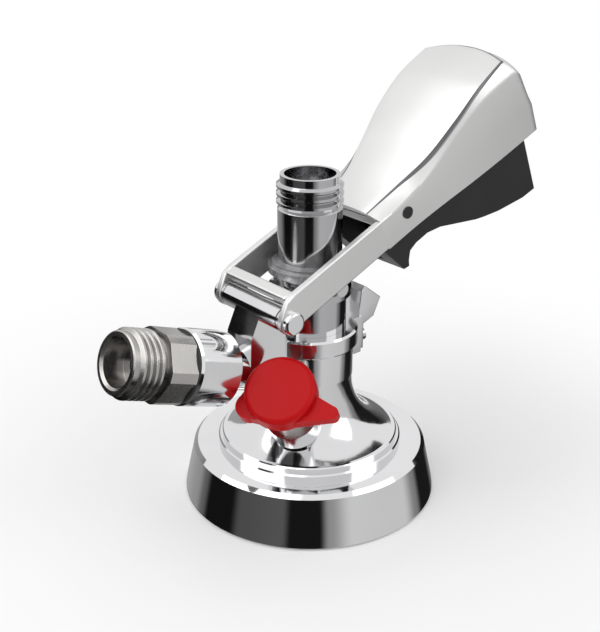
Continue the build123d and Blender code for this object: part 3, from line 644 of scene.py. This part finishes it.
for k in range(len(grid[-1]) - 1):
    hood_builder.faces.new((grid[-1][k], tip, grid[-1][k + 1]))
bmesh.ops.recalc_face_normals(hood_builder, faces=hood_builder.faces)
hood_builder.normal_update()
print("hood rows", len(grid))

# %% Hood wall
crown_face = max(hood_builder.faces, key=lambda face: face.calc_center_median().z)
outward = 1 if crown_face.normal.dot(ABOVE) > 0 else -1
outer_verts, outer_faces = list(hood_builder.verts), list(hood_builder.faces)
rim_edges = [edge for edge in hood_builder.edges if edge.is_boundary]
inner = {}
for vert in outer_verts:
    inner[vert] = hood_builder.verts.new(vert.co - vert.normal * outward * HOOD_WALL * MM)
for face in outer_faces:
    hood_builder.faces.new([inner[vert] for vert in reversed(face.verts)])
for edge in rim_edges:
    one, two = edge.verts
    hood_builder.faces.new((one, two, inner[two], inner[one]))
bmesh.ops.recalc_face_normals(hood_builder, faces=hood_builder.faces)
# The faces of the groove, and the rounded edge at the end of the top, take a darker chrome: a painted dark
# reflection.
face_count = len(whole) - 1
for row in range(len(grid) - 1):
    for k in range(face_count):
        from_foot = min(k, face_count - 1 - k)
        in_groove = from_foot in GROOVE_STEPS and row < STATIONS + 2
        at_tip = row in (STATIONS, STATIONS + 1) and from_foot >= TOP_STEP
        outer_faces[row * face_count + k].material_index = 1 if in_groove or at_tip else 0
hood_mesh = finished_mesh("lever_hood", hood_builder, CREASE_ANGLE)
add_lever_piece(hood_mesh)
hood_mesh.materials.append(painted_reflection_line)
print("hood faces", len(hood_mesh.polygons))


# %% [markdown]
# ## Arms and cross web
# Two flat arms carry the hood from the hinge. They are plates with round heads about the pin, softened all
# round. A short web ties them just behind the pin, and a lip closes the hood's front edge. The arms' outer
# faces lie a hair inside the hood's, so that the two don't share a plane.

# %% Arms and web
def plate(name, outline, first_y, last_y):
    """A plate between two planes across the lever, from an outline of (u, w) points."""
    builder = bmesh.new()
    sheets = [[builder.verts.new(on_lever(u, y, w)) for u, w in outline] for y in (first_y, last_y)]
    for k in range(len(outline)):
        after = (k + 1) % len(outline)
        builder.faces.new((sheets[0][k], sheets[0][after], sheets[1][after], sheets[1][k]))
    builder.faces.new(sheets[0][::-1])
    builder.faces.new(sheets[1])
    bmesh.ops.recalc_face_normals(builder, faces=builder.faces)
    return finished_mesh(name, builder, PLATE_CREASE_ANGLE)


HEAD_R = 4.4
ARM_END, ARM_TOP = 52.0, 8.25
ARM_INSET = 0.03
LIP_OVERLAP, WEB_OVERLAP = 0.3, 0.4
head = [(HEAD_R * math.cos(math.radians(d)), HEAD_R * math.sin(math.radians(d))) for d in range(128, 250, 8)]
arm_outline = [(ARM_END, LEVER_LOW), (ARM_END, ARM_TOP), (5.0, ARM_TOP), (1.2, 7.2)] + head
arm_outline += [(0.0, -4.0), (4.0, LEVER_LOW)]
lip_outline = [(46.1, 5.0), (47.9, 5.0), (47.9, 9.0), (46.1, 9.0)]
lip_mesh = plate("hood_lip", lip_outline, -ARM_INNER - LIP_OVERLAP, ARM_INNER + LIP_OVERLAP)
soften(add_lever_piece(lip_mesh), 0.6)
for side, label in ((-1, "near"), (1, "far")):
    arm_mesh = plate("lever_arm_" + label, arm_outline, side * ARM_INNER, side * (ARM_OUTER - ARM_INSET))
    soften(add_lever_piece(arm_mesh), 0.5)
web_outline = [(1.6, 5.1), (6.0, 5.1), (6.0, 8.1), (1.6, 8.1)]
web_mesh = plate("lever_web", web_outline, -ARM_INNER - WEB_OVERLAP, ARM_INNER + WEB_OVERLAP)
soften(add_lever_piece(web_mesh), 0.8)
print("arm outline points", len(arm_outline))

# %% [markdown]
# ## Back wall of the grip
# The grip is a hollow shell that is bowed at the hand's end. In the frame's solid the hollow cuts right
# through the bow in two narrow slots. A curved wall just inside the back face covers them; the solid itself
# still has them.

# %% Back wall
BOW_R, BOW_TIP = 23.72, 127.6
LEAN_TIP, LEAN_START, LEAN_BACK, LEAN_HEIGHT = 127.4, -8, 2.2, 18
WALL_INSET, WALL_THICKNESS = 0.03, 1.6
WALL_HALF, WALL_LOW, WALL_RISE, WALL_ROWS = 16, -25.8, 27.6, 12


def back_of_grip(y, w):
    """Where the grip's back face lies along the lever: bowed in plan and leaning inwards below."""
    bow = BOW_TIP - BOW_R + math.sqrt(BOW_R ** 2 - y ** 2)
    lean = LEAN_TIP - LEAN_BACK * max(0.0, LEAN_START - w) / LEAN_HEIGHT
    return min(bow, lean) - WALL_INSET


back_builder = bmesh.new()
across = [k - WALL_HALF for k in range(2 * WALL_HALF + 1)]
heights = [WALL_LOW + WALL_RISE * k / WALL_ROWS for k in range(WALL_ROWS + 1)]
sheets = []
for depth in (0.0, WALL_THICKNESS):
    sheet = []
    for w in heights:
        sheet.append([back_builder.verts.new(on_lever(back_of_grip(y, w) - depth, y, w)) for y in across])
    sheets.append(sheet)
for sheet in sheets:
    for low, high in zip(sheet, sheet[1:]):
        for k in range(len(across) - 1):
            back_builder.faces.new((low[k], low[k + 1], high[k + 1], high[k]))
outer, hidden = sheets
for k in range(len(across) - 1):
    for row in (0, -1):
        back_builder.faces.new((outer[row][k], outer[row][k + 1], hidden[row][k + 1], hidden[row][k]))
for k in range(len(heights) - 1):
    for column in (0, -1):
        back_builder.faces.new((
            outer[k][column], outer[k + 1][column], hidden[k + 1][column], hidden[k][column]))
bmesh.ops.recalc_face_normals(back_builder, faces=back_builder.faces)
back_mesh = finished_mesh("grip_back_wall", back_builder, CREASE_ANGLE)
add_piece(back_mesh, "grip", black)
print("back wall faces", len(back_mesh.polygons))
